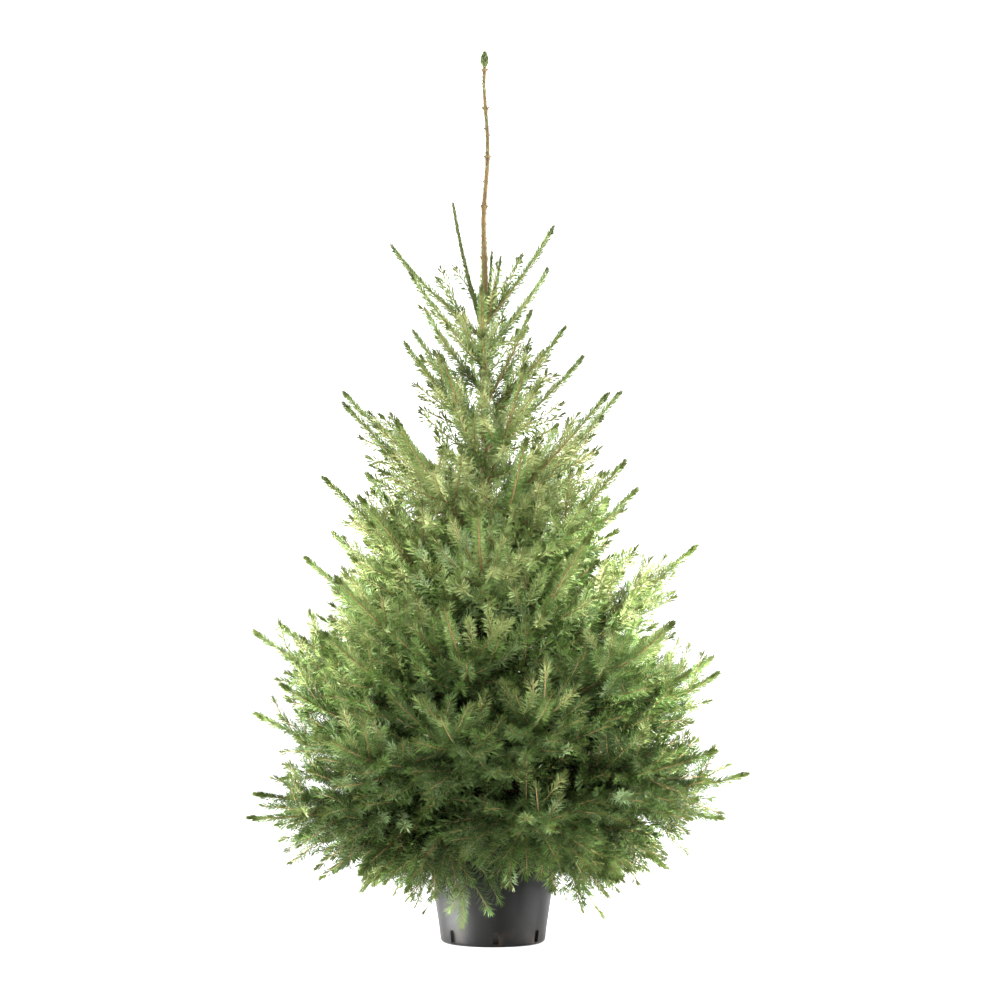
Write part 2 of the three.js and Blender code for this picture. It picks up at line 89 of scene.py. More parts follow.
# Trunk and leader
TOTAL_HEIGHT = 1.5
TRUNK_FOOT = 0.1583
TRUNK_RADIUS = 0.0135
WHORL_RADIUS = 0.0052
LEADER_TIP_RADIUS = 0.0024
FLARE = 0.009
FLARE_HEIGHT = 0.016
LEAN = -0.014
LEAN_HEIGHT = 0.700
SWAY = 0.0026
SWAY_PITCH = 0.095
SWAY_TURN = 2.0
TIP_TUFT = 0.030
TUFT_BELOW_TIP = 0.012
BARK_BELOW_TIP = 0.010
NEEDLES_BELOW_TIP = 0.008
TRUNK_SIDES = 32
BARK_RING_STEP = 0.004
BARK_RELIEF = 0.10
BARK_PLATES = (210, 210, 95)
BARK_GRAIN = 520
BARK_COARSE = 0.75
COLLAR_RISE = 0.10
COLLAR_HEIGHT = 0.008
KNOT_HEIGHTS = (1.466, 1.401, 1.320, 1.236, 1.150)
KNOT_RISE = 0.0009
KNOT_HEIGHT = 0.006
LEADER_BEND = 0.0024
LEADER_BEND_PITCH = 0.036
LEADER_BEND_EASE = 0.06
CLOTHED_TRUNK = (0.760, 1.060)
CLOTHED_RADIUS = 0.006
TUFT_RADII = (0.0036, 0.0030)

# Branches, by the rule that the solids follow
SEED = 20263
STREAM = 977
BRANCHES = 36
BOUGHS = 20
LOWEST_BRANCH = 0.204
TOP_WHORL = 1.050
SKIRT_CROWDING = 2.2
WHORL_CROWDING = 1.5
FIRST_AZIMUTH = 320.0
GOLDEN_ANGLE = 137.508
AZIMUTH_JITTER = 9.0
REACH_JITTER = 0.09
RISE_JITTER = 0.014
PATH_STEPS = 20
BARE_SHARE = 0.17
NEEDLE_START = 0.05
BOUGH_RADIUS = 0.0056
SHOOT_RADIUS = 0.0034
THIN_RADIUS = 0.0024
SHOOT_TIP_RADIUS = 0.0010
LONGEST_SHOOT = 0.85
BOUGH_SIDES = 14
BOUGH_RINGS = 6
BOUGH_OVERLAP = 1.05
BOUGH_FULLER = 1.06

# Shorter branches between those, and in the skirt
FILLERS = (9, 32)
FILLER_TURN = 240.0
FILLER_REACH = (0.90, 0.92)
FILLER_SHOOT = 1.35
SKIRT_REACH = 0.93
SKIRT_JITTER = 0.02

# Crown form from the lowest branch, level 0, to the top whorl, level 1
CROWN_KEYS = ("level", "reach", "rise", "leave", "arrive", "lift", "shoot", "twig")
CROWN = [
    (0.00, 0.280, -0.085, 10, -50, -0.60, 0.22, 0.64),
    (0.03, 0.386, -0.050, 8, -18, -0.35, 0.22, 0.64),
    (0.05, 0.448, 0.015, 6, 14, 0.10, 0.23, 0.62),
    (0.07, 0.458, 0.075, 8, 24, 0.25, 0.25, 0.60),
    (0.09, 0.448, 0.120, 12, 30, 0.35, 0.27, 0.60),
    (0.13, 0.398, 0.175, 18, 36, 0.40, 0.29, 0.58),
    (0.20, 0.365, 0.225, 25, 40, 0.40, 0.31, 0.56),
    (0.25, 0.350, 0.235, 28, 41, 0.40, 0.33, 0.55),
    (0.31, 0.310, 0.235, 31, 42, 0.40, 0.35, 0.54),
    (0.38, 0.292, 0.232, 32, 43, 0.40, 0.37, 0.52),
    (0.57, 0.282, 0.222, 33, 45, 0.35, 0.42, 0.48),
    (0.69, 0.205, 0.174, 36, 48, 0.35, 0.45, 0.48),
    (0.80, 0.145, 0.142, 42, 52, 0.30, 0.50, 0.50),
    (1.00, 0.145, 0.145, 44, 56, 0.30, 0.85, 0.45),
]

# Rings of extra branches: places, lowest and highest index, first azimuth, height stride, empty places
SKIRTS = [
    (9, 6.6, 10.2, 0, 4, 0),
    (10, 0.8, 3.4, 252, 3, 2),
    (6, 10.8, 13.2, 290, 1, 0),
]

# Steep shoots beside the leader in the top whorl: the root's height, azimuth, reach, rise and bow
UPRIGHTS = [
    (1.030, 178, 0.050, 0.208, 0.004),
    (1.035, 345, 0.030, 0.112, 0.004),
    (1.010, 75, 0.055, 0.150, 0.008),
]
UPRIGHT_RADIUS = 0.0026

# Twigs on the branches
TWIG_SPACING = 0.0175
TWIG_ROLLS = (65, -65, 150, -105, 105, -150)
TWIG_ROLL_JITTER = 22.0
TWIG_ANGLE = 42.0
TWIG_ANGLE_JITTER = 8.0
TWIG_LENGTH = 0.165
TWIG_LENGTH_JITTER = 0.16
TWIG_SHORTEST = 0.040
TWIG_ROOT_CLEAR = 0.009
TWIG_FORWARD = 0.35
TWIG_STEPS = 6
TWIG_RADIUS = 0.0012
TWIG_TIP_RADIUS = 0.0007
TWIG_BARE = 0.006
TWIG_OUTWARD = 0.7
TWIG_SLIM = 0.92
OUTER_TWIG = 0.86
OUTER_TWIG_SLIM = 0.5
HANGING_LIFT = 0.35
HANGING_OUT = 0.60
POT_CLEARANCE = 0.006

# Finer twigs on the twigs
FINE_STREAM = 41
FINE_SPACING = 0.026
FINE_TIP_SHARE = 0.34
FINE_ROOT_SHARE = 0.66
FINE_ROOT_CLEAR = 0.008
FINE_ROLL = 78.0
FINE_ROLL_JITTER = 28.0
FINE_ANGLE = 46.0
FINE_ANGLE_JITTER = 14.0
FINE_LENGTH_SHARE = 0.62
FINE_LENGTH_JITTER = 0.2
FINE_LONGEST = 0.085
FINE_SHORTEST = 0.026
FINE_LIFT = 0.8
FINE_STEPS = 4
FINE_RADIUS = 0.0008
FINE_TIP_RADIUS = 0.0005
FINE_BARE = 0.003
FINE_OUTWARD = 0.12
FINE_SLIM = 0.95
FINE_INNERMOST = 0.36
FINE_HIGHEST = 0.52

# Short brushes that stand up from the low branches
BRUSH_STREAM = 83
BRUSH_LEVELS = (0.030, 0.150)
BRUSH_COUNT = 4
BRUSH_SPAN = (0.44, 0.88)
BRUSH_STAGGER = 0.4
BRUSH_LENGTHS = (0.085, 0.048)
BRUSH_JITTER = 0.25
BRUSH_ANGLE = math.radians(52)
BRUSH_LEAN = 60.0
BRUSH_RISE = 0.70
BRUSH_DEPTHS = (0.66, 0.96)
BRUSH_SLIM = 0.90

# Kinds of stem, with the sides and the ring spacing of all but the trunk
LIMB, TWIG, FINE_TWIG, TRUNK = range(4)
STEM_FACES = ((7, 0.014), (4, 0.036), (3, 0.045))
FEWEST_RINGS = 3

# Buds
BUD_SHARES = (0.0, 0.35, 1.0)
BUD_WIDTHS = (0.6, 1.0, 0.12)
BUD_SIDES = 5
BUD_LENGTH = 0.0052
BUD_FULLNESS = 1.5
BUD_SUNK = 0.001
BUD_SHORTEST_STEM = 0.06
KNOT_BUDS = 3
KNOT_BUD_LENGTH = 0.0075
KNOT_BUD_RADIUS = 0.0024
KNOT_BUD_RISE = 38
KNOT_BUD_ROOT = 0.6
KNOT_BUD_FIRST = 20
KNOT_BUD_TURN = 67

# Needles
NEEDLE_LENGTH = 0.0175
NEEDLE_WIDTH = 0.0016
NEEDLE_JITTER = 0.10
NEEDLE_FOLD = 0.0006
NEEDLE_WAIST = 0.60
NEEDLE_STAND = 54.0
NEEDLE_STAND_NOISE = 7.0
NEEDLE_STAND_RANGE = (8, 80)
NEEDLE_LAID = 0.30
NEEDLE_LIFT = 0.08
NEEDLE_ROOT = 0.55
NEEDLE_TURN = math.radians(GOLDEN_ANGLE)
NEEDLE_TURN_NOISE = 0.35
NEEDLE_PARTING = 0.16
NEEDLE_FACES_OUT = 0.9
NEEDLE_FACES_UP = 0.3
NEEDLE_FACING_NOISE = 0.35
NEEDLE_DENSITY = 1520.0
FEWEST_NEEDLES = 8
LEADING_DENSITY = 2.2
INNER_FROM = 0.75
INNER_SPAN = 0.35
INNER_DENSITY = 480.0
INNER_WIDTH = 2.5
HIGH_NEEDLES = (0.780, 1.120)
HIGH_LENGTH = 0.84
HIGH_STAND = 0.90
HIGH_WIDTH = 0.80
HIGH_DENSITY = 1.15
SLIM_STAND = 0.40
SLIM_LENGTH = 0.16
SLIM_SHORTEST = 0.02
TIP_CLOSE = 0.014
TIP_STAND = 0.7
TIP_SHARE = 0.05
NEEDLES_IN_PIECE = 95000

# How shades are dealt out: painted light, lighter up the crown, outwards and on the heads of low sprays,
# and painted shade, darker inside the crown and low down
SPRAY_LENGTH = 0.050
# Painted light and shade by height: lighter shades up the crown, darker ones low down
LIT_HEIGHTS = (0.10, 0.30, 0.55, 0.85, 1.00, 1.15)
LIT_GAINS = (-0.34, -0.27, 0.18, 0.38, 0.34, 0.20)
# Painted shade: darker shades deeper inside the crown, lighter ones outwards
DEPTH_GAIN = 0.55
# Painted light on the outer heads of sprays low in the crown, and painted shade behind them
LOW_CROWN = (0.42, 0.60)
LOW_NOISE = 0.4
SPRAY_HEADS = (0.66, 0.98)
LOW_HEADS = (-0.16, 0.34)
SHADE_NOISE = 0.13
SHADE_STEPS = 7
SILVER_SHARE = 0.03
TIP_DARK = 0.012
LEADING_SHARE = 0.70
LEADING_SHADE = 3

# Shades with two tones and a sheen: from darkest to lightest, dealt as painted shade inside the crown and
# low down and as painted light outwards and up the crown, then pale sprays, then dark tips
SHADES = [
    ("deep", (53, 69, 30), (71, 93, 43), 0.20),
    ("moss", (63, 83, 36), (84, 109, 51), 0.26),
    ("green", (80, 105, 47), (105, 133, 63), 0.36),
    ("leaf", (102, 124, 63), (130, 150, 84), 0.42),
    ("bright", (116, 132, 72), (142, 156, 92), 0.42),
    ("fresh_and_lit", (130, 142, 83), (155, 165, 104), 0.42),
    ("silver", (100, 124, 74), (124, 146, 95), 0.42),
    ("olive", (70, 83, 37), (95, 109, 52), 0.29),
]
SILVER = 6
OLIVE = 7
BY_DEPTH = -1

# Barks: the creases, the plates, their worn edges, and how fine the plates are
BARKS = dict(
    trunk_bark=((58, 47, 31), (92, 76, 49), (122, 102, 69), 110.0),
    bough_bark=((74, 56, 38), (118, 92, 62), (156, 130, 94), 130.0),
    branch_bark=((98, 80, 50), (134, 112, 72), (164, 142, 98), 160.0),
    young_bark=((102, 85, 51), (130, 109, 68), (157, 133, 90), 220.0),
    bud_scales=((66, 54, 32), (92, 78, 46), (116, 102, 62), 420.0),
)

# Lamps: name, place, what each faces, width and height, power, and the spread of its beam in degrees
LAMPS = [
    ("key", (-3.4, -0.1, 2.0), (0, 0, 0.9), (1.6, 1.6), 118, 180),
    ("fill", (3.4, 0, 2.0), (0, 0, 0.9), (1.6, 1.6), 136, 180),
    ("left_side", (-2.2, 0, 0.6), (0, 0, 0.5), (1.2, 1.2), 78, 180),
    ("right_side", (2.2, -0.1, 0.6), (0, 0, 0.5), (1.2, 1.2), 84, 180),
    ("left_flank", (-2, -1.2, 0.5), (-0.46, -0.05, 0.4), (0.5, 0.7), 6.6, 11),
    ("right_flank", (2, -1.2, 0.5), (0.46, -0.05, 0.4), (0.5, 0.7), 8.8, 11),
    ("left_strip", (-0.95, -0.12, 0.045), (0, 0, 0.045), (0.6, 0.07), 4.2, 10),
    ("right_strip", (0.95, -0.05, 0.045), (0, 0, 0.045), (0.6, 0.07), 0.5, 10),
]

# Stage: light from the front, the back and above, with the directions between which it changes
FRONT_LIGHT = 0.74
BACK_LIGHT = 2.4
TOP_LIGHT = 2.5
FRONT_TO_BACK = (-0.80, 0.15)
SIDE_TO_TOP = (0.30, 0.85)
FLOOR_HALF = 30.0
CAMERA_PLACE = (0.0118, -6.0, 0.7436)
CAMERA_LENS = 128.2
CAMERA_SENSOR = 36.0

# Sums
MASK = 0xFFFFFFFF
DRAW_STEP = 0x6D2B79F5
HEADING_PARTS = 40
STEEP = 0.94
UP = np.array([0.0, 0.0, 1.0])
SIDE = np.array([1.0, 0.0, 0.0])


def lerp(start, end, share):
    return start + (end - start) * share


def clamp(value):
    return max(0.0, min(1.0, value))


def smoothstep(value, low, high):
    share = clamp((value - low) / (high - low))
    return share * share * (3 - 2 * share)


def units(vectors):
    return vectors / np.linalg.norm(vectors, axis=1)[:, None]


def heading(azimuth, elevation):
    """The unit vector at an azimuth and an elevation, in degrees."""
    turn = math.radians(azimuth)
    tilt = math.radians(elevation)
    flat = math.cos(tilt)
    return np.array([math.cos(turn) * flat, math.sin(turn) * flat, math.sin(tilt)])


def seeded(seed):
    """Draws of 0 to 1 that repeat for a seed."""
    state = seed & MASK

    def draw():
        nonlocal state
        state = (state + DRAW_STEP) & MASK
        mixed = ((state ^ (state >> 15)) * (state | 1)) & MASK
        mixed ^= (mixed + (((mixed ^ (mixed >> 7)) * (mixed | 61)) & MASK)) & MASK
        return ((mixed ^ (mixed >> 14)) & MASK) / (MASK + 1)

    return draw


def spread(draw):
    return 2 * draw() - 1


# Paths: points with their distances from the foot
def measured(points):
    points = np.asarray(points, float)
    steps = np.linalg.norm(np.diff(points, axis=0), axis=1)
    return points, np.concatenate([[0.0], np.cumsum(steps)])


def length_of(path):
    return path[1][-1]


def spots(path, distances):
    points, marks = path
    return np.stack([np.interp(distances, marks, points[:, axis]) for axis in range(3)], axis=-1)


def spot(path, distance):
    return spots(path, np.array([distance]))[0]


def headings(path, distances):
    reach = length_of(path) / HEADING_PARTS
    return units(spots(path, distances + reach) - spots(path, distances - reach))


def frames(path, distances):
    """Ahead, across and above at distances along a path."""
    ahead = headings(path, distances)
    steep = np.abs(ahead[:, 2:3]) > STEEP
    across = units(np.cross(np.where(steep, SIDE, UP), ahead))
    return ahead, across, np.cross(ahead, across)


# Trunk and pot shape
def trunk_centre(height):
    risen = height - TRUNK_FOOT
    sway = SWAY * min(1.0, risen / LEAN_HEIGHT)
    x = LEAN * smoothstep(risen, 0, LEAN_HEIGHT) + sway * math.sin(height / SWAY_PITCH)
    y = sway * math.sin(height / SWAY_PITCH + SWAY_TURN)
    return np.array([x, y, height])


def leader_centre(height):
    """The trunk's axis with the small bends that a leader keeps from its buds."""
    risen = height - TOP_WHORL
    ease = clamp(risen / LEADER_BEND_EASE) * clamp((TOTAL_HEIGHT - height) / LEADER_BEND_EASE)
    bend = LEADER_BEND * ease * math.sin(risen / LEADER_BEND_PITCH)
    return trunk_centre(height) + SIDE * bend


def trunk_radius(height):
    low = clamp((height - TRUNK_FOOT) / (TOP_WHORL - TRUNK_FOOT))
    high = clamp((height - TOP_WHORL) / (TOTAL_HEIGHT - TOP_WHORL))
    body = lerp(lerp(TRUNK_RADIUS, WHORL_RADIUS, low), LEADER_TIP_RADIUS, high)
    return body + FLARE * math.exp((TRUNK_FOOT - height) / FLARE_HEIGHT)


def pot_radius(height):
    return lerp(POT_BASE_RADIUS, POT_TOP_RADIUS, height / POT_HEIGHT)


# Growth
@dataclass
class Branch:
    """A limb from the trunk, its bare bough and the form of the crown where it grows."""
    index: float
    level: float
    form: dict
    path: tuple
    bare: float
    girth: float
    end_shoot: float
    draw: object


@dataclass
class Shoot:
    """A needled stem, how far out in the crown it starts and ends and how its needles stand."""
    path: tuple
    foot_radius: float
    tip_radius: float
    bare: float
    slim_from: float
    inner: float
    outer: float
    rank: int
    needle: float = NEEDLE_LENGTH
    stand: float = NEEDLE_STAND
    density: float = 0.0
    shade: int = BY_DEPTH


def crown_form(level):
    columns = list(zip(*CROWN))
    return {key: float(np.interp(level, columns[0], column)) for key, column in zip(CROWN_KEYS, columns)}


def bezier(start, first, second, end, steps):
    share = np.linspace(0, 1, steps + 1)[:, None]
    rest = 1 - share
    return (rest ** 3 * start + 3 * rest ** 2 * share * first
            + 3 * rest * share ** 2 * second + share ** 3 * end)


def grow_branch(index, turn=0.0, share=1.0, jitter=REACH_JITTER, freer=1.0):
    """A branch by the rule of the solids; one between two of them is turned and shorter."""
    draw = seeded(round(SEED + STREAM * index))
    rank = index / (BRANCHES - 1)
    level = 1 - (1 - rank ** SKIRT_CROWDING) ** WHORL_CROWDING
    form = crown_form(level)
    azimuth = FIRST_AZIMUTH + turn + index * GOLDEN_ANGLE + spread(draw) * AZIMUTH_JITTER
    reach = form["reach"] * share * (1 + spread(draw) * jitter)
    rise = form["rise"] + spread(draw) * RISE_JITTER
    root = trunk_centre(lerp(LOWEST_BRANCH, TOP_WHORL, level))
    tip = root + heading(azimuth, 0) * reach + UP * rise
    third = np.linalg.norm(tip - root) / 3
    leaving = root + heading(azimuth, form["leave"]) * third
    arriving = tip - heading(azimuth, form["arrive"]) * third
    path = measured(bezier(root, leaving, arriving, tip, PATH_STEPS))
    total = length_of(path)
    bare = 0.0
    girth = lerp(SHOOT_RADIUS, THIN_RADIUS, level)
    if index < BOUGHS and share == 1.0:
        bare = BARE_SHARE * total
        girth = lerp(BOUGH_RADIUS, SHOOT_RADIUS, index / BOUGHS)
    end_shoot = min(form["shoot"] * freer, LONGEST_SHOOT) * total
    return Branch(index, level, form, path, bare, girth, end_shoot, draw)


def grow_filler(index):
    """A shorter branch half way up to the next one, well round the trunk from both."""
    low, high = FILLERS
    share = lerp(*FILLER_REACH, (index - low) / (high - low))
    return grow_branch(index + 0.5, FILLER_TURN, share, REACH_JITTER, FILLER_SHOOT)


def grow_skirt(count, low, high, first, stride, skip):
    """A ring of low branches, evenly round and stepped in height."""
    for place in range(skip, count):
        index = lerp(low, high, place * stride % count / count)
        turn = first + place / count * 360 - FIRST_AZIMUTH - index * GOLDEN_ANGLE
        yield grow_branch(index, turn, SKIRT_REACH, SKIRT_JITTER)


def branch_shoot(branch):
    """The branch's own stem past its bough."""
    bare = branch.bare + NEEDLE_START * (length_of(branch.path) - branch.bare)
    slim = 1 - branch.form["shoot"]
    return Shoot(branch.path, branch.girth, SHOOT_TIP_RADIUS, bare, slim, 0.0, 1.0, LIMB)


def leave_stem(path, distance, roll, angle, upper=None):
    """Where a side stem leaves a path, which way it goes, and which way the path goes there."""
    place = np.array([distance])
    ahead, across, above = (axis[0] for axis in frames(path, place))
    outward = (above if upper is None else upper) * math.cos(roll) + across * math.sin(roll)
    away = ahead * math.cos(angle) + outward * math.sin(angle)
    return spots(path, place)[0], away, ahead


def bent_stem(foot, away, bend, length, steps):
    """A stem that leaves along away and turns towards bend."""
    share = np.linspace(0, 1, steps + 1)[:, None]
    return measured(foot + away * share * length + bend * 0.5 * share ** 2 * length)


def clear_of_pot(path):
    """Whether a stem stays outside the pot."""
    x, y, z = path[0].T
    low = z < POT_HEIGHT + POT_CLEARANCE
    wall = pot_radius(z) + LIP_OUT + POT_CLEARANCE
    return not np.any(low & (np.hypot(x, y) < wall)) and z.min() > POT_CLEARANCE


def grow_twigs(branch):
    """The twigs of a branch, by the rule of the solids."""
    total = length_of(branch.path)
    lift = branch.form["lift"]
    hanging = clamp(-lift / HANGING_LIFT)
    twigs = []
    place = 0
    while place * TWIG_SPACING < total - branch.bare - branch.end_shoot - TWIG_ROOT_CLEAR:
        from_tip = branch.end_shoot + place * TWIG_SPACING
        roll = math.radians(TWIG_ROLLS[place % len(TWIG_ROLLS)] + spread(branch.draw) * TWIG_ROLL_JITTER)
        angle = math.radians(TWIG_ANGLE + spread(branch.draw) * TWIG_ANGLE_JITTER)
        wanted = min(TWIG_LENGTH, branch.form["twig"] * from_tip)
        wanted *= 1 + spread(branch.draw) * TWIG_LENGTH_JITTER
        place += 1
        if wanted < TWIG_SHORTEST:
            continue
        foot, away, ahead = leave_stem(branch.path, total - from_tip, roll, angle)
        path = bent_stem(foot, away, ahead * TWIG_FORWARD + UP * lift, wanted, TWIG_STEPS)
        if not clear_of_pot(path):
            continue
        inner = max((total - from_tip) / total, HANGING_OUT * hanging)
        outer = inner + TWIG_OUTWARD * wanted / total
        slim = OUTER_TWIG_SLIM if outer > OUTER_TWIG else TWIG_SLIM
        twigs.append(Shoot(path, TWIG_RADIUS, TWIG_TIP_RADIUS, TWIG_BARE, slim, inner, outer, TWIG))
    return twigs


def grow_fine_twigs(branch, twigs):
    """Finer twigs, left and right along each twig."""
    draw = seeded(round(SEED + STREAM * branch.index + FINE_STREAM))
    fine = []
    for twig in twigs:
        if twig.outer < FINE_INNERMOST or branch.level > FINE_HIGHEST:
            continue
        total = length_of(twig.path)
        place = 0
        while place * FINE_SPACING < FINE_ROOT_SHARE * total - FINE_ROOT_CLEAR:
            from_tip = FINE_TIP_SHARE * total + place * FINE_SPACING
            hand = 1 if place % 2 else -1
            roll = math.radians(hand * FINE_ROLL + spread(draw) * FINE_ROLL_JITTER)
            angle = math.radians(FINE_ANGLE + spread(draw) * FINE_ANGLE_JITTER)
            wanted = min(FINE_LONGEST, FINE_LENGTH_SHARE * from_tip)
            wanted *= 1 + FINE_LENGTH_JITTER * spread(draw)
            place += 1
            if wanted < FINE_SHORTEST:
                continue
            foot, away, ahead = leave_stem(twig.path, total - from_tip, roll, angle)
            bend = ahead * TWIG_FORWARD + UP * branch.form["lift"] * FINE_LIFT
            path = bent_stem(foot, away, bend, wanted, FINE_STEPS)
            if not clear_of_pot(path):
                continue
            inner = lerp(twig.inner, twig.outer, 1 - from_tip / total)
            outer = inner + FINE_OUTWARD
            fine.append(Shoot(path, FINE_RADIUS, FINE_TIP_RADIUS, FINE_BARE, FINE_SLIM,
                              inner, outer, FINE_TWIG))
    return fine


def grow_brushes(branch):
    """Short shoots that stand up from the outer half of a low branch."""
    low, high = BRUSH_LEVELS
    if not low < branch.level < high:
        return []
    draw = seeded(round(SEED + STREAM * branch.index + BRUSH_STREAM))
    brushes = []
    for place in range(BRUSH_COUNT):
        along = (place + 0.5 + BRUSH_STAGGER * spread(draw)) / BRUSH_COUNT
        lean = math.radians(spread(draw) * BRUSH_LEAN)
        distance = lerp(*BRUSH_SPAN, along) * length_of(branch.path)
        foot, away, _ = leave_stem(branch.path, distance, lean, BRUSH_ANGLE, UP)
        length = lerp(*BRUSH_LENGTHS, along) * (1 + BRUSH_JITTER * spread(draw))
        path = bent_stem(foot, away, UP * BRUSH_RISE, length, TWIG_STEPS)
        brushes.append(Shoot(path, TWIG_RADIUS, TWIG_TIP_RADIUS, TWIG_BARE, BRUSH_SLIM,
                             *BRUSH_DEPTHS, TWIG))
    return brushes


def upright_shoots():
    """The steep shoots beside the leader, each bowed a little outwards."""
    share = np.linspace(0, 1, PATH_STEPS + 1)[:, None]
    for root, azimuth, reach, rise, bow in UPRIGHTS:
        out = reach * share + bow * np.sin(share * math.pi)
        points = trunk_centre(root) + heading(azimuth, 0) * out + UP * rise * share
        yield Shoot(measured(points), UPRIGHT_RADIUS, SHOOT_TIP_RADIUS, bare=0.0, slim_from=0.3,
                    inner=0.6, outer=1.0, rank=LIMB, needle=0.013, stand=30.0, density=5200.0, shade=OLIVE)


def stem_between(centre, low, high, steps):
    return measured([centre(height) for height in np.linspace(low, high, steps)])


def leader_shoots():
    """The needled upper trunk, the leader and its tip tuft."""
    low, high = CLOTHED_TRUNK
    clothed = stem_between(trunk_centre, low, high, steps=40)
    leader = stem_between(leader_centre, high, TOTAL_HEIGHT - NEEDLES_BELOW_TIP, steps=60)
    tuft = stem_between(leader_centre, TOTAL_HEIGHT - TIP_TUFT, TOTAL_HEIGHT - TUFT_BELOW_TIP, steps=6)
    return [
        Shoot(clothed, CLOTHED_RADIUS, WHORL_RADIUS, bare=0.0, slim_from=0.95, inner=0.3, outer=0.5,
              rank=TRUNK, needle=0.013, stand=36.0, density=650.0),
        Shoot(leader, WHORL_RADIUS, LEADER_TIP_RADIUS, bare=0.0, slim_from=0.9, inner=0.2, outer=0.4,
              rank=TRUNK, needle=0.008, stand=16.0, density=1100.0, shade=OLIVE),
        Shoot(tuft, *TUFT_RADII, bare=0.0, slim_from=0.6, inner=0.2, outer=0.4,
              rank=TRUNK, needle=0.013, stand=24.0, density=24000.0, shade=OLIVE),
    ]


# Meshes from arrays
class Gathered:
    """Points and triangles of many small things, joined into one mesh."""

    def __init__(self):
        self.points = []
        self.triangles = []
        self.count = 0

    def add(self, points, triangles):
        self.points.append(np.asarray(points, float))
        self.triangles.append(np.asarray(triangles, int) + self.count)
        self.count += len(points)

    def mesh(self, name, smooth):
        mesh = bpy.data.meshes.new(name)
        points = np.concatenate(self.points)
        mesh.from_pydata(points, [], np.concatenate(self.triangles), shade_flat=not smooth)
        return mesh


def circle(sides):
    """Unit vectors evenly round the upright axis."""
    turns = np.arange(sides) / sides * math.tau
    return np.stack([np.cos(turns), np.sin(turns), np.zeros(sides)], axis=1)


@cache
def ring_triangles(rings, sides):
    """Triangles of a closed skin over rings of points, with a fan at each end."""
    triangles = []
    for ring in range(rings - 1):
        for side in range(sides):
            here = ring * sides + side
            beside = ring * sides + (side + 1) % sides
            triangles.append((here, beside, beside + sides))
            triangles.append((here, beside + sides, here + sides))
    last = (rings - 1) * sides
    for side in range(1, sides - 1):
        triangles.append((0, side + 1, side))
        triangles.append((last, last + side, last + side + 1))
    return triangles


def tube(path, distances, radii, sides):
    """Points and triangles of a round stem with a radius at each distance."""
    middle = spots(path, distances)
    _, across, above = frames(path, distances)
    turns = np.arange(sides) / sides * math.tau
    outward = (across[:, None, :] * np.cos(turns)[None, :, None]
               + above[:, None, :] * np.sin(turns)[None, :, None])
    points = middle[:, None, :] + outward * radii[:, None, None]
    return points.reshape(-1, 3), ring_triangles(len(distances), sides)


def one_mesh(name, points, triangles, smooth):
    gathered = Gathered()
    gathered.add(points, triangles)
    return gathered.mesh(name, smooth)


def add_object(name, data):
    thing = bpy.data.objects.new(name, data)
    bpy.context.scene.collection.objects.link(thing)
    return thing


def add_piece(mesh, material, nodes=()):
    """Puts a mesh in the scene as a piece that rides on the plant and stands for nodes."""
    piece = add_object(mesh.name, mesh)
    mesh.materials.append(material)
    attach(piece, "root")
    if nodes:
        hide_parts(*nodes)


def nodes_named(start):
    return sorted(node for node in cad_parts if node.startswith(start))


# Materials
def colour(tone):
    """A linear colour from the usual 0 to 255 values."""
    linear = []
    for value in tone:
        share = value / 255
        linear.append(share / 12.92 if share <= 0.04045 else ((share + 0.055) / 1.055) ** 2.4)
    return (*linear, 1.0)


def add_node(tree, kind, inputs):
    """A new node with each given input linked to another's output or set to a value."""
    node = tree.nodes.new(kind)
    for name, value in inputs.items():
        if isinstance(value, bpy.types.NodeSocket):
            tree.links.new(value, node.inputs[name])
        else:
            node.inputs[name].default_value = value
    return node


def ranged(tree, value, low, high, start, end):
    """A node that carries a value from start and end over to low and high."""
    inputs = {"Value": value, "From Min": start, "From Max": end, "To Min": low, "To Max": high}
    return add_node(tree, "ShaderNodeMapRange", inputs).outputs["Result"]


class Shader:
    """A material and short ways to add and link its nodes."""

    def __init__(self, name):
        self.material = bpy.data.materials.new(name)
        self.material.use_nodes = True
        self.tree = self.material.node_tree
        self.surface = self.tree.nodes["Principled BSDF"]
        self.place = self.tree.nodes.new("ShaderNodeTexCoord").outputs["Object"]

    def link(self, source, target):
        self.tree.links.new(source, target)

    def noise(self, scale, detail=3.0, rough=0.55, stretch=None):
        place = self.place
        if stretch:
            mapping = add_node(self.tree, "ShaderNodeMapping", dict(Vector=place, Scale=stretch))
            place = mapping.outputs["Vector"]
        inputs = dict(Vector=place, Scale=scale, Detail=detail, Roughness=rough)
        return add_node(self.tree, "ShaderNodeTexNoise", inputs).outputs["Fac"]

    def ramp(self, value, stops):
        node = add_node(self.tree, "ShaderNodeValToRGB", dict(Fac=value))
        elements = node.color_ramp.elements
        while len(elements) < len(stops):
            elements.new(0.5)
        for element, (position, tone) in zip(elements, stops):
            element.position = position
            element.color = colour(tone)
        return node.outputs["Color"]

    def span(self, value, low, high, start=0.3, end=0.7):
        return ranged(self.tree, value, low, high, start, end)

    def mix(self, factor, first, second):
        node = self.tree.nodes.new("ShaderNodeMix")
        node.data_type = "RGBA"
        self.link(factor, node.inputs["Factor"])
        self.link(first, node.inputs["A"])
        self.link(second, node.inputs["B"])
        return node.outputs["Result"]

    def bump(self, value, strength, distance):
        inputs = dict(Height=value, Strength=strength, Distance=distance)
        self.drive("Normal", add_node(self.tree, "ShaderNodeBump", inputs).outputs["Normal"])

    def set(self, socket, value):
        self.surface.inputs[socket].default_value = value

    def drive(self, socket, value):
        self.link(value, self.surface.inputs[socket])


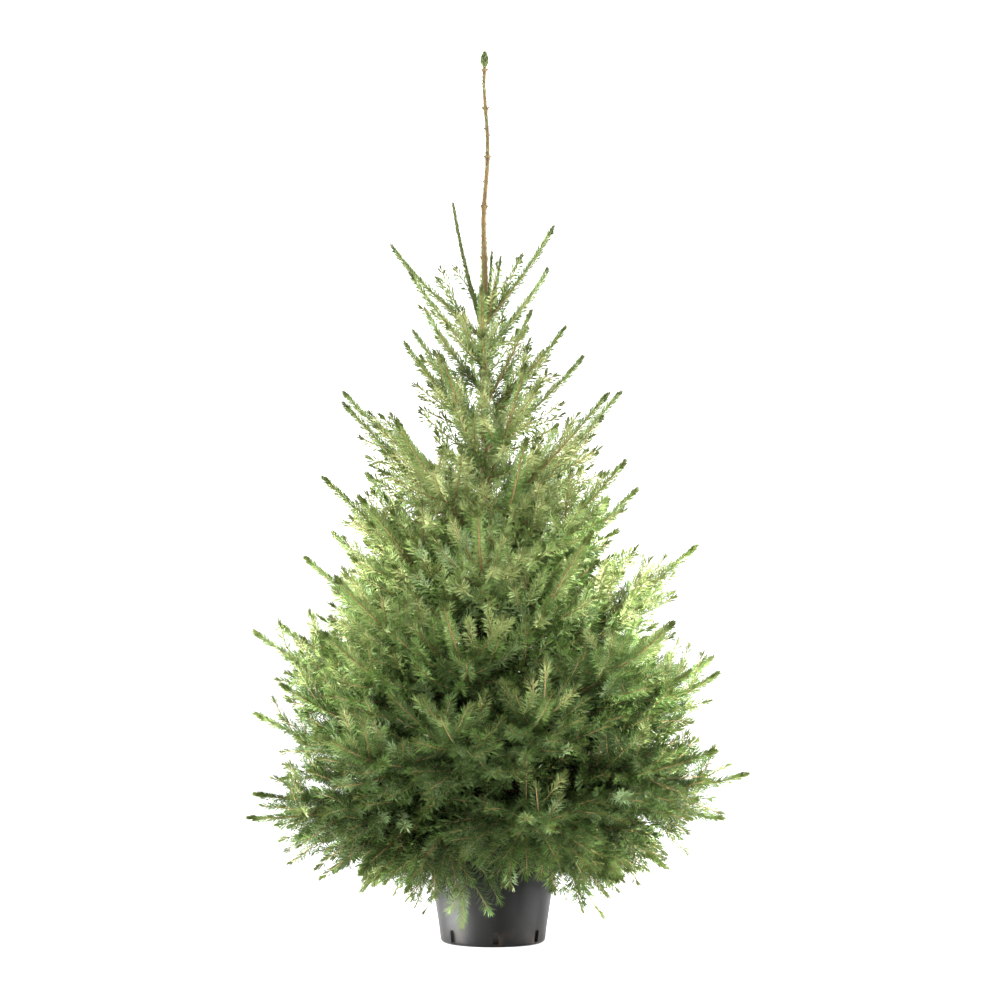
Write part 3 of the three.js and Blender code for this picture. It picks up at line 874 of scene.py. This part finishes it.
def needle_material(name, dark, light, sheen):
    """Waxy needles of one shade, mottled between two close tones."""
    shader = Shader(name)
    mottle = shader.noise(70.0, detail=2.0)
    shader.drive("Base Color", shader.ramp(mottle, [(0.32, dark), (0.68, light)]))
    shader.drive("Roughness", shader.span(shader.noise(160.0), 0.34, 0.50))
    shader.set("Specular IOR Level", sheen)
    return shader.material


def bark_material(name):
    """Thin scaly bark: mottled plates with dark creases."""
    creases, plates, edges, scale = BARKS[name]
    shader = Shader(name)
    pattern = shader.noise(scale, detail=6.0, rough=0.65, stretch=(1.0, 1.0, 0.45))
    shader.drive("Base Color", shader.ramp(pattern, [(0.30, creases), (0.48, plates), (0.70, edges)]))
    shader.drive("Roughness", shader.span(pattern, 0.70, 0.90))
    shader.set("Specular IOR Level", 0.3)
    shader.bump(pattern, 0.6, 0.0008)
    return shader.material


def pot_material():
    """Dark moulded plastic with a soft gloss, fine grain, scuffs and a dusting of soil at the foot."""
    shader = Shader("pot_plastic")
    cloud = shader.noise(9.0, detail=5.0)
    plastic = shader.ramp(cloud, [(0.30, (9, 9, 9)), (0.72, (15, 15, 14))])
    grit = shader.noise(30.0, detail=6.0, rough=0.7)
    dust = shader.ramp(grit, [(0.30, (44, 37, 31)), (0.75, (72, 61, 52))])
    height = add_node(shader.tree, "ShaderNodeSeparateXYZ", dict(Vector=shader.place))
    low = shader.span(height.outputs["Z"], 0.40, 0.0, start=0.004, end=0.036)
    patch = shader.span(shader.noise(22.0, detail=4.0), 0.0, 1.0, start=0.50, end=0.72)
    amount = add_node(shader.tree, "ShaderNodeMath", {0: low, 1: patch})
    amount.operation = "MULTIPLY"
    shader.drive("Base Color", shader.mix(amount.outputs["Value"], plastic, dust))
    streaks = shader.noise(26.0, detail=5.0, stretch=(1.0, 1.0, 0.12))
    shader.drive("Roughness", shader.span(streaks, 0.34, 0.46))
    shader.set("Specular IOR Level", 0.08)
    shader.bump(shader.noise(900.0, detail=2.0), 0.10, 0.0003)
    return shader.material


def soil_material(name, dark, mid, light):
    """Rough dull compost, speckled with paler bits."""
    shader = Shader(name)
    grain = shader.noise(240.0, detail=6.0, rough=0.7)
    shader.drive("Base Color", shader.ramp(grain, [(0.32, dark), (0.52, mid), (0.74, light)]))
    shader.drive("Roughness", shader.span(grain, 0.85, 0.98))
    shader.bump(grain, 0.8, 0.0012)
    return shader.material


def floor_material():
    """Plain pale paper."""
    shader = Shader("floor_white")
    cloud = shader.noise(1.5, detail=2.0)
    shader.drive("Base Color", shader.ramp(cloud, [(0.3, (244, 244, 244)), (0.7, (248, 248, 248))]))
    shader.set("Roughness", 0.9)
    shader.set("Specular IOR Level", 0.0)
    return shader.material


# Needles
class Needles(NamedTuple):
    """Many needles as rows: roots, headings, upper sides, lengths and widths."""
    roots: np.ndarray
    ahead: np.ndarray
    upside: np.ndarray
    length: np.ndarray
    width: np.ndarray


def high_share(heights):
    """How far needles are up in the slim top of the crown, from 0 to 1."""
    low, high = HIGH_NEEDLES
    return np.clip((heights - low) / (high - low), 0, 1)


def inner_share(shoot):
    """How far a shoot lies inside the crown, from 0 to 1."""
    return clamp((INNER_FROM - shoot.outer) / INNER_SPAN)


def needle_count(shoot):
    """How many needles a shoot carries: more on outer and upper ones."""
    total = length_of(shoot.path)
    middle = spot(shoot.path, total / 2)[2]
    density = lerp(NEEDLE_DENSITY, INNER_DENSITY, inner_share(shoot))
    density *= lerp(1.0, HIGH_DENSITY, high_share(middle))
    if shoot.rank == LIMB:
        density *= LEADING_DENSITY
    return max(FEWEST_NEEDLES, int((total - shoot.bare) * (shoot.density or density)))


def needles_of(shoot, random):
    """One shoot's needles, with how far along the shoot each stands."""
    total = length_of(shoot.path)
    clothed = total - shoot.bare
    count = needle_count(shoot)
    along = (np.arange(count) + random.random(count)) / count
    crowded = random.random(count) < TIP_SHARE
    along[crowded] = 1 - random.random(crowded.sum()) * TIP_CLOSE / clothed
    distance = shoot.bare + along * clothed
    middle = spots(shoot.path, distance)
    high = np.zeros(count) if shoot.rank == TRUNK else high_share(middle[:, 2])
    ahead, across, above = frames(shoot.path, distance)
    roll = np.arange(count) * NEEDLE_TURN + random.normal(0, NEEDLE_TURN_NOISE, count)
    roll = (roll + math.pi) % math.tau - math.pi
    roll *= 1 - NEEDLE_PARTING * (np.abs(roll) / math.pi) ** 2
    outward = above * np.cos(roll)[:, None] + across * np.sin(roll)[:, None]
    slim = np.clip((distance / total - shoot.slim_from) / max(SLIM_SHORTEST, 1 - shoot.slim_from), 0, 1)
    close = np.clip((distance - total + TIP_CLOSE) / TIP_CLOSE, 0, 1)
    stand = shoot.stand * (1 - SLIM_STAND * slim) * (1 - NEEDLE_LAID * np.cos(roll))
    stand = stand * (1 - TIP_STAND * close) * lerp(1.0, HIGH_STAND, high)
    stand = stand + random.normal(0, NEEDLE_STAND_NOISE, count)
    stand = np.radians(np.clip(stand, *NEEDLE_STAND_RANGE))
    towards = units(ahead * np.cos(stand)[:, None] + outward * np.sin(stand)[:, None] + UP * NEEDLE_LIFT)
    facing = outward * NEEDLE_FACES_OUT + UP * NEEDLE_FACES_UP
    facing = facing + random.normal(0, NEEDLE_FACING_NOISE, (count, 3))
    upside = units(facing - towards * np.sum(facing * towards, axis=1)[:, None] + above * 1e-4)
    length = shoot.needle * (1 - SLIM_LENGTH * slim) * lerp(1.0, HIGH_LENGTH, high)
    length = length * (1 + random.normal(0, NEEDLE_JITTER, count))
    radius = lerp(shoot.foot_radius, shoot.tip_radius, distance / total)
    roots = middle + outward * (NEEDLE_ROOT * radius)[:, None]
    width = NEEDLE_WIDTH * lerp(1.0, INNER_WIDTH, inner_share(shoot)) * lerp(1.0, HIGH_WIDTH, high)
    width = width * (1 + random.normal(0, NEEDLE_JITTER, count))
    return Needles(roots, towards, upside, length, width), along


def deal_shades(shoot, along, random):
    """A shade for each spray of needles on a shoot: painted shade, darker within the crown and low down;
    painted light, lighter up the crown and on the outer heads of low sprays; random tone besides, and dark
    olive at the tips.
    """
    total = length_of(shoot.path)
    sprays = max(1, int(round(total / SPRAY_LENGTH)))
    spray = np.minimum((along * sprays).astype(int), sprays - 1)
    middles = (np.arange(sprays) + 0.5) / sprays
    depth = lerp(shoot.inner, shoot.outer, middles)
    heights = spots(shoot.path, middles * total)[:, 2]
    # Painted shade and light: darker deeper in the crown and low down, lighter up the crown and on the
    # outer heads of low sprays
    low = np.interp(heights, LOW_CROWN, (1, 0))
    heads = low * np.interp(depth, SPRAY_HEADS, LOW_HEADS)
    scale = depth * DEPTH_GAIN + np.interp(heights, LIT_HEIGHTS, LIT_GAINS) + heads
    scale = scale + random.normal(0, SHADE_NOISE, sprays) * (1 + LOW_NOISE * low)
    dealt = np.clip((scale * SHADE_STEPS).astype(int), 0, SILVER - 1)
    dealt[random.random(sprays) < SILVER_SHARE] = SILVER
    shades = dealt[spray]
    if shoot.rank == LIMB:
        shades = np.where(along > LEADING_SHARE, np.minimum(shades, LEADING_SHADE), shades)
    if shoot.rank in (LIMB, TWIG):
        at_tip = (1 - along) * (total - shoot.bare) < TIP_DARK
        shades = np.where(at_tip, OLIVE, shades)
    return shades if shoot.shade == BY_DEPTH else np.full(len(along), shoot.shade)


def needle_mesh(name, needles):
    """Each needle is a slim pointed blade of two faces, folded along its ridge."""
    count = len(needles.roots)
    across = np.cross(needles.ahead, needles.upside)
    waist = (needles.roots + needles.ahead * (needles.length * NEEDLE_WAIST)[:, None]
             - needles.upside * NEEDLE_FOLD)
    half = across * (needles.width / 2)[:, None]
    tips = needles.roots + needles.ahead * needles.length[:, None]
    points = np.stack([needles.roots, waist + half, tips, waist - half], axis=1).reshape(-1, 3)
    faces = np.array([(0, 1, 2), (0, 2, 3)])
    triangles = (np.arange(count) * 4)[:, None, None] + faces[None, :, :]
    return one_mesh(name, points, triangles.reshape(-1, 3), False)


def some_needles(needles, chosen):
    return Needles(*(rows[chosen] for rows in needles))


def make_needles(shoots):
    """All needles, sorted by shade into pieces."""
    random = np.random.default_rng(SEED)
    groups = [[] for _ in SHADES]
    for shoot in shoots:
        needles, along = needles_of(shoot, random)
        dealt = deal_shades(shoot, along, random)
        for shade in np.unique(dealt):
            groups[shade].append(some_needles(needles, dealt == shade))
    masses = [*nodes_named("foliage_"), "leader_tuft"]
    for (name, dark, light, sheen), group in zip(SHADES, groups):
        needles = Needles(*map(np.concatenate, zip(*group)))
        material = needle_material(f"needle_{name}", dark, light, sheen)
        pieces = math.ceil(len(needles.roots) / NEEDLES_IN_PIECE)
        for number in range(pieces):
            chosen = slice(number, None, pieces)
            mesh = needle_mesh(f"needles_{name}_{number + 1}", some_needles(needles, chosen))
            add_piece(mesh, material, masses)


# Stems and buds
def make_stems(shoots):
    """Branch stems in one piece, twigs in another."""
    old = Gathered()
    young = Gathered()
    for shoot in shoots:
        if shoot.rank == TRUNK:
            continue
        total = length_of(shoot.path)
        sides, step = STEM_FACES[shoot.rank]
        rings = max(FEWEST_RINGS, int(total / step) + 1)
        distances = np.linspace(0, total, rings)
        radii = lerp(shoot.foot_radius, shoot.tip_radius, distances / total)
        stems = old if shoot.rank == LIMB else young
        stems.add(*tube(shoot.path, distances, radii, sides))
    add_piece(old.mesh("branch_stems", True), bark_material("branch_bark"))
    add_piece(young.mesh("young_stems", True), bark_material("young_bark"))


def add_bud(gathered, foot, towards, length, radius):
    path = measured([foot, foot + towards * length])
    distances = np.array(BUD_SHARES) * length_of(path)
    gathered.add(*tube(path, distances, np.array(BUD_WIDTHS) * radius, BUD_SIDES))


def make_buds(shoots):
    """A resting bud at each longer stem's end, and small whorls of buds along the leader."""
    buds = Gathered()
    for shoot in shoots:
        total = length_of(shoot.path)
        if total < BUD_SHORTEST_STEM or shoot.rank not in (LIMB, TWIG):
            continue
        towards = headings(shoot.path, np.array([total]))[0]
        foot = spot(shoot.path, total) - towards * BUD_SUNK
        add_bud(buds, foot, towards, BUD_LENGTH, shoot.tip_radius * BUD_FULLNESS)
    for knot, height in enumerate(KNOT_HEIGHTS):
        for around in range(KNOT_BUDS):
            azimuth = knot * KNOT_BUD_TURN + around * 360 / KNOT_BUDS + KNOT_BUD_FIRST
            towards = heading(azimuth, KNOT_BUD_RISE)
            foot = leader_centre(height) + heading(azimuth, 0) * trunk_radius(height) * KNOT_BUD_ROOT
            add_bud(buds, foot, towards, KNOT_BUD_LENGTH, KNOT_BUD_RADIUS)
    add_piece(buds.mesh("buds", True), bark_material("bud_scales"))


# Trunk and boughs
def bark_height(point, radius):
    """The rise of the bark over a round stem: scaly plates, as a share of the stem's radius."""
    place = Vector(point)
    coarse = noise.fractal(place * Vector(BARK_PLATES), 1.0, 2.0, 3)
    fine = noise.noise(place * BARK_GRAIN)
    return radius * BARK_RELIEF * (BARK_COARSE * coarse + (1 - BARK_COARSE) * fine)


def relief(points, centres, radii, sides):
    """Moves a stem's points in and out by the bark's height."""
    outward = points - np.repeat(centres, sides, axis=0)
    scale = np.repeat(radii, sides)
    heights = np.array([bark_height(point, radius) for point, radius in zip(points, scale)])
    return points + units(outward) * heights[:, None]


def make_trunk(branches):
    """The trunk and leader, with bark plates and a collar where each branch leaves."""
    heights = np.arange(TRUNK_FOOT, TOTAL_HEIGHT - BARK_BELOW_TIP, BARK_RING_STEP)
    centres = np.array([leader_centre(height) for height in heights])
    radii = np.array([trunk_radius(height) for height in heights])
    for branch in branches:
        away = np.abs(heights - branch.path[0][0][2])
        radii += COLLAR_RISE * branch.girth * np.exp(-(away / COLLAR_HEIGHT) ** 2)
    for height in KNOT_HEIGHTS:
        radii += KNOT_RISE * np.exp(-((heights - height) / KNOT_HEIGHT) ** 2)
    points = (centres[:, None, :] + circle(TRUNK_SIDES) * radii[:, None, None]).reshape(-1, 3)
    points = relief(points, centres, radii, TRUNK_SIDES)
    points[:TRUNK_SIDES, 2] = TRUNK_FOOT
    mesh = one_mesh("trunk_bark", points, ring_triangles(len(heights), TRUNK_SIDES), True)
    add_piece(mesh, bark_material("trunk_bark"), ["trunk"])


def make_boughs(branches):
    """The bare boughs, each from inside the trunk's bark to where its needles begin."""
    gathered = Gathered()
    for branch in branches[:BOUGHS]:
        rings = max(BOUGH_RINGS, int(branch.bare / BARK_RING_STEP))
        distances = np.linspace(0, branch.bare * BOUGH_OVERLAP, rings)
        taper = lerp(branch.girth, SHOOT_TIP_RADIUS, distances / length_of(branch.path))
        radii = taper * BOUGH_FULLER
        points, triangles = tube(branch.path, distances, radii, BOUGH_SIDES)
        gathered.add(relief(points, spots(branch.path, distances), radii, BOUGH_SIDES), triangles)
    mesh = gathered.mesh("boughs_bark", True)
    add_piece(mesh, bark_material("bough_bark"), nodes_named("bough_"))


# Pot
def arc(centre, radius, start, end, steps):
    turns = np.radians(np.linspace(start, end, steps + 1))
    return [(centre[0] + radius * math.cos(turn), centre[1] + radius * math.sin(turn)) for turn in turns]


def pot_profile():
    """The pot's section, out along the underside, up the wall, over the lip and down inside."""
    slope = (POT_TOP_RADIUS - POT_BASE_RADIUS) / POT_HEIGHT
    foot = POT_FOOT_ROUND
    lip_low = POT_HEIGHT - LIP_DEPTH
    lip_high = POT_HEIGHT - LIP_ROUND
    lip = pot_radius(lip_low) + LIP_OUT
    top = POT_TOP_RADIUS + LIP_OUT
    inside = POT_TOP_RADIUS - POT_WALL
    profile = [(radius, 0.0) for radius in POT_UNDERSIDE]
    profile += arc((pot_radius(foot) - foot, foot), foot, -90, -4, 8)
    profile += [(pot_radius(z), z) for z in np.linspace(POT_WALL_FROM, lip_low - LIP_SHOULDER, 12)]
    profile += arc((lip - LIP_ROUND, lip_low + LIP_ROUND), LIP_ROUND, -80, 0, 4)
    profile += arc((top - LIP_ROUND, lip_high), LIP_ROUND, 0, 90, 5)
    profile += arc((inside + LIP_ROUND, lip_high), LIP_ROUND, 90, 180, 5)
    profile += [(pot_radius(z) - POT_WALL, z) for z in np.linspace(POT_INSIDE_FROM, POT_INSIDE_TO, 8)]
    profile += [(POT_BASE_RADIUS - POT_WALL - POT_FLOOR_DRAFT * slope, POT_FLOOR)]
    profile += [(radius, POT_FLOOR) for radius in POT_INSIDE_FLOOR]
    return profile


def lathe(name, profile, segments):
    """A closed mesh turned from a profile that starts and ends on the axis."""
    rim = np.array(profile[1:-1])
    rings = len(rim)
    points = circle(segments) * rim[:, :1, None] + UP * rim[:, 1:, None]
    first = rings * segments
    last = (rings - 1) * segments
    ends = [(0, 0, profile[0][1]), (0, 0, profile[-1][1])]
    triangles = ring_triangles(rings, segments)[:2 * last]
    for side in range(segments):
        beside = (side + 1) % segments
        triangles.append((first, beside, side))
        triangles.append((first + 1, last + side, last + beside))
    return one_mesh(name, np.concatenate([points.reshape(-1, 3), ends]), triangles, True)


def slot_cutter():
    """Round-topped blocks that cut the drain slots through the foot of the wall."""
    gathered = Gathered()
    half = SLOT_WIDTH / 2
    outline = [(-half, SLOT_LOW), (half, SLOT_LOW)]
    outline += arc((0.0, SLOT_HIGH - half), half, 0, 180, 10)
    outer = POT_BASE_RADIUS + SLOT_CUT_OUT
    for count in range(SLOT_COUNT):
        turn = SLOT_TURN - math.pi / 2 + math.tau * count / SLOT_COUNT
        outward = np.array([math.cos(turn), math.sin(turn), 0.0])
        across = np.cross(UP, outward)
        points = []
        for out in (outer - SLOT_CUT_DEPTH, outer):
            points += [outward * out + across * x + UP * z for x, z in outline]
        gathered.add(points, ring_triangles(2, len(outline)))
    return gathered.mesh("slot_cutter", False)


def make_pot():
    """The pot's shell, turned and then cut through by its drain slots."""
    plain = add_object("pot_plain", lathe("pot_plain", pot_profile(), POT_SEGMENTS))
    cutter = add_object("slot_cutter", slot_cutter())
    cut = plain.modifiers.new("slots", "BOOLEAN")
    cut.operation = "DIFFERENCE"
    cut.solver = "EXACT"
    cut.object = cutter
    bpy.context.view_layer.update()
    mesh = bpy.data.meshes.new_from_object(plain.evaluated_get(bpy.context.evaluated_depsgraph_get()))
    mesh.name = "pot_shell"
    mesh.materials.clear()
    mesh.set_sharp_from_angle(angle=POT_SHARP)
    for thing in (plain, cutter):
        bpy.data.objects.remove(thing)
    add_piece(mesh, pot_material(), ["pot"])


# Soil
def soil_height(x, y):
    edge = pot_radius(SOIL_TOP) - POT_WALL - SOIL_CLEAR
    drop = SOIL_EDGE_DROP * smoothstep(math.hypot(x, y), SOIL_LEVEL_RADIUS, edge)
    grain = noise.fractal(Vector((x * SOIL_GRAIN_SCALE, y * SOIL_GRAIN_SCALE, 0.3)), 1.0, 2.0, 4)
    return SOIL_TOP - drop + SOIL_GRAIN * (grain - SOIL_GRAIN_MEAN)


def make_soil():
    """The compost that fills the pot, with a rough crumbly top."""
    edge_top = pot_radius(SOIL_TOP - SOIL_EDGE_DROP) - POT_WALL - SOIL_CLEAR
    around = circle(SOIL_SEGMENTS)
    points = []
    for radius in SOIL_BASE_RADII:
        points += list(around * radius + UP * (POT_FLOOR + SOIL_CLEAR))
    for radius in np.linspace(edge_top, SOIL_MIDDLE_RADIUS, SOIL_RINGS):
        points += [(x, y, soil_height(x, y)) for x, y, _ in around * radius]
    rings = len(SOIL_BASE_RADII) + SOIL_RINGS
    mesh = one_mesh("soil_top", points, ring_triangles(rings, SOIL_SEGMENTS), True)
    tone = soil_material("compost", (11, 8, 6), (24, 18, 13), (48, 37, 28))
    add_piece(mesh, tone, ["soil"])


def make_crumbs():
    """Loose crumbs and bits of bark on the compost."""
    random = np.random.default_rng(SEED + CRUMB_STREAM)
    crumbs = Gathered()
    corners = np.array([(1, 0, 0), (-1, 0, 0), (0, 1, 0), (0, -1, 0), (0, 0, 1), (0, 0, -1)], float)
    faces = [(0, 2, 4), (2, 1, 4), (1, 3, 4), (3, 0, 4), (2, 0, 5), (1, 2, 5), (3, 1, 5), (0, 3, 5)]
    for _ in range(CRUMB_COUNT):
        out = CRUMB_INNERMOST + CRUMB_BELT * math.sqrt(random.random())
        turn = random.random() * math.tau
        x = out * math.cos(turn)
        y = out * math.sin(turn)
        size = random.uniform(*CRUMB_SIZE)
        shape = corners * size * random.uniform(0.5, 1.0, (6, 1)) * random.uniform(0.5, 1.1, 3)
        spin = random.random() * math.tau
        turned = shape.copy()
        turned[:, 0] = shape[:, 0] * math.cos(spin) - shape[:, 1] * math.sin(spin)
        turned[:, 1] = shape[:, 0] * math.sin(spin) + shape[:, 1] * math.cos(spin)
        crumbs.add(turned + (x, y, soil_height(x, y) + size * CRUMB_LIFT), faces)
    tone = soil_material("crumbs", (44, 32, 22), (78, 58, 40), (122, 96, 68))
    add_piece(crumbs.mesh("soil_crumbs", False), tone)


# Stage
def make_floor():
    mesh = bpy.data.meshes.new("floor")
    corners = [(x * FLOOR_HALF, y * FLOOR_HALF, 0) for x, y in ((-1, -1), (1, -1), (1, 1), (-1, 1))]
    mesh.from_pydata(corners, [], [(0, 1, 2, 3)])
    mesh.materials.append(floor_material())
    floor = add_object("floor", mesh)


def add_lamp(name, place, target, size, power, beam):
    lamp = bpy.data.lights.new(name, "AREA")
    lamp.shape = "RECTANGLE"
    lamp.size, lamp.size_y = size
    lamp.energy = power
    lamp.spread = math.radians(beam)
    light = add_object(name, lamp)
    light.location = place
    light.rotation_euler = (Vector(target) - Vector(place)).to_track_quat("-Z", "Y").to_euler()


def make_light():
    """Soft lamps at the sides in a white studio that is brighter behind and above."""
    for row in LAMPS:
        add_lamp(*row)
    world = bpy.data.worlds.new("studio")
    world.use_nodes = True
    tree = world.node_tree
    place = tree.nodes.new("ShaderNodeTexCoord")
    split = add_node(tree, "ShaderNodeSeparateXYZ", dict(Vector=place.outputs["Generated"]))
    around = ranged(tree, split.outputs["Y"], FRONT_LIGHT, BACK_LIGHT, *FRONT_TO_BACK)
    above = ranged(tree, split.outputs["Z"], 0.0, 1.0, *SIDE_TO_TOP)
    blend = add_node(tree, "ShaderNodeMix", dict(Factor=above, A=around, B=TOP_LIGHT))
    background = tree.nodes["Background"].inputs
    tree.links.new(blend.outputs["Result"], background["Strength"])
    background["Color"].default_value = (1.0, 1.0, 1.0, 1.0)
    bpy.context.scene.world = world
    bpy.context.scene.view_settings.view_transform = "Standard"


def make_camera():
    """Level with the middle of the plant, six metres back, as the photograph looks."""
    lens = bpy.data.cameras.new("camera")
    lens.lens = CAMERA_LENS
    lens.sensor_width = CAMERA_SENSOR
    camera = add_object("camera", lens)
    camera.location = CAMERA_PLACE
    camera.rotation_euler = (math.radians(90), 0, 0)
    bpy.context.scene.camera = camera


def main():
    branches = [grow_branch(index) for index in range(BRANCHES)]
    fillers = [grow_filler(index) for index in range(*FILLERS)]
    for ring in SKIRTS:
        fillers += grow_skirt(*ring)
    shoots = []
    for branch in branches + fillers:
        twigs = grow_twigs(branch)
        shoots.append(branch_shoot(branch))
        shoots += twigs
        shoots += grow_fine_twigs(branch, twigs)
        shoots += grow_brushes(branch)
    shoots += upright_shoots()
    shoots += leader_shoots()
    make_camera()
    make_needles(shoots)
    make_stems(shoots)
    make_buds(shoots)
    make_trunk(branches)
    make_boughs(branches)
    make_pot()
    make_soil()
    make_crumbs()
    make_floor()
    make_light()


main()
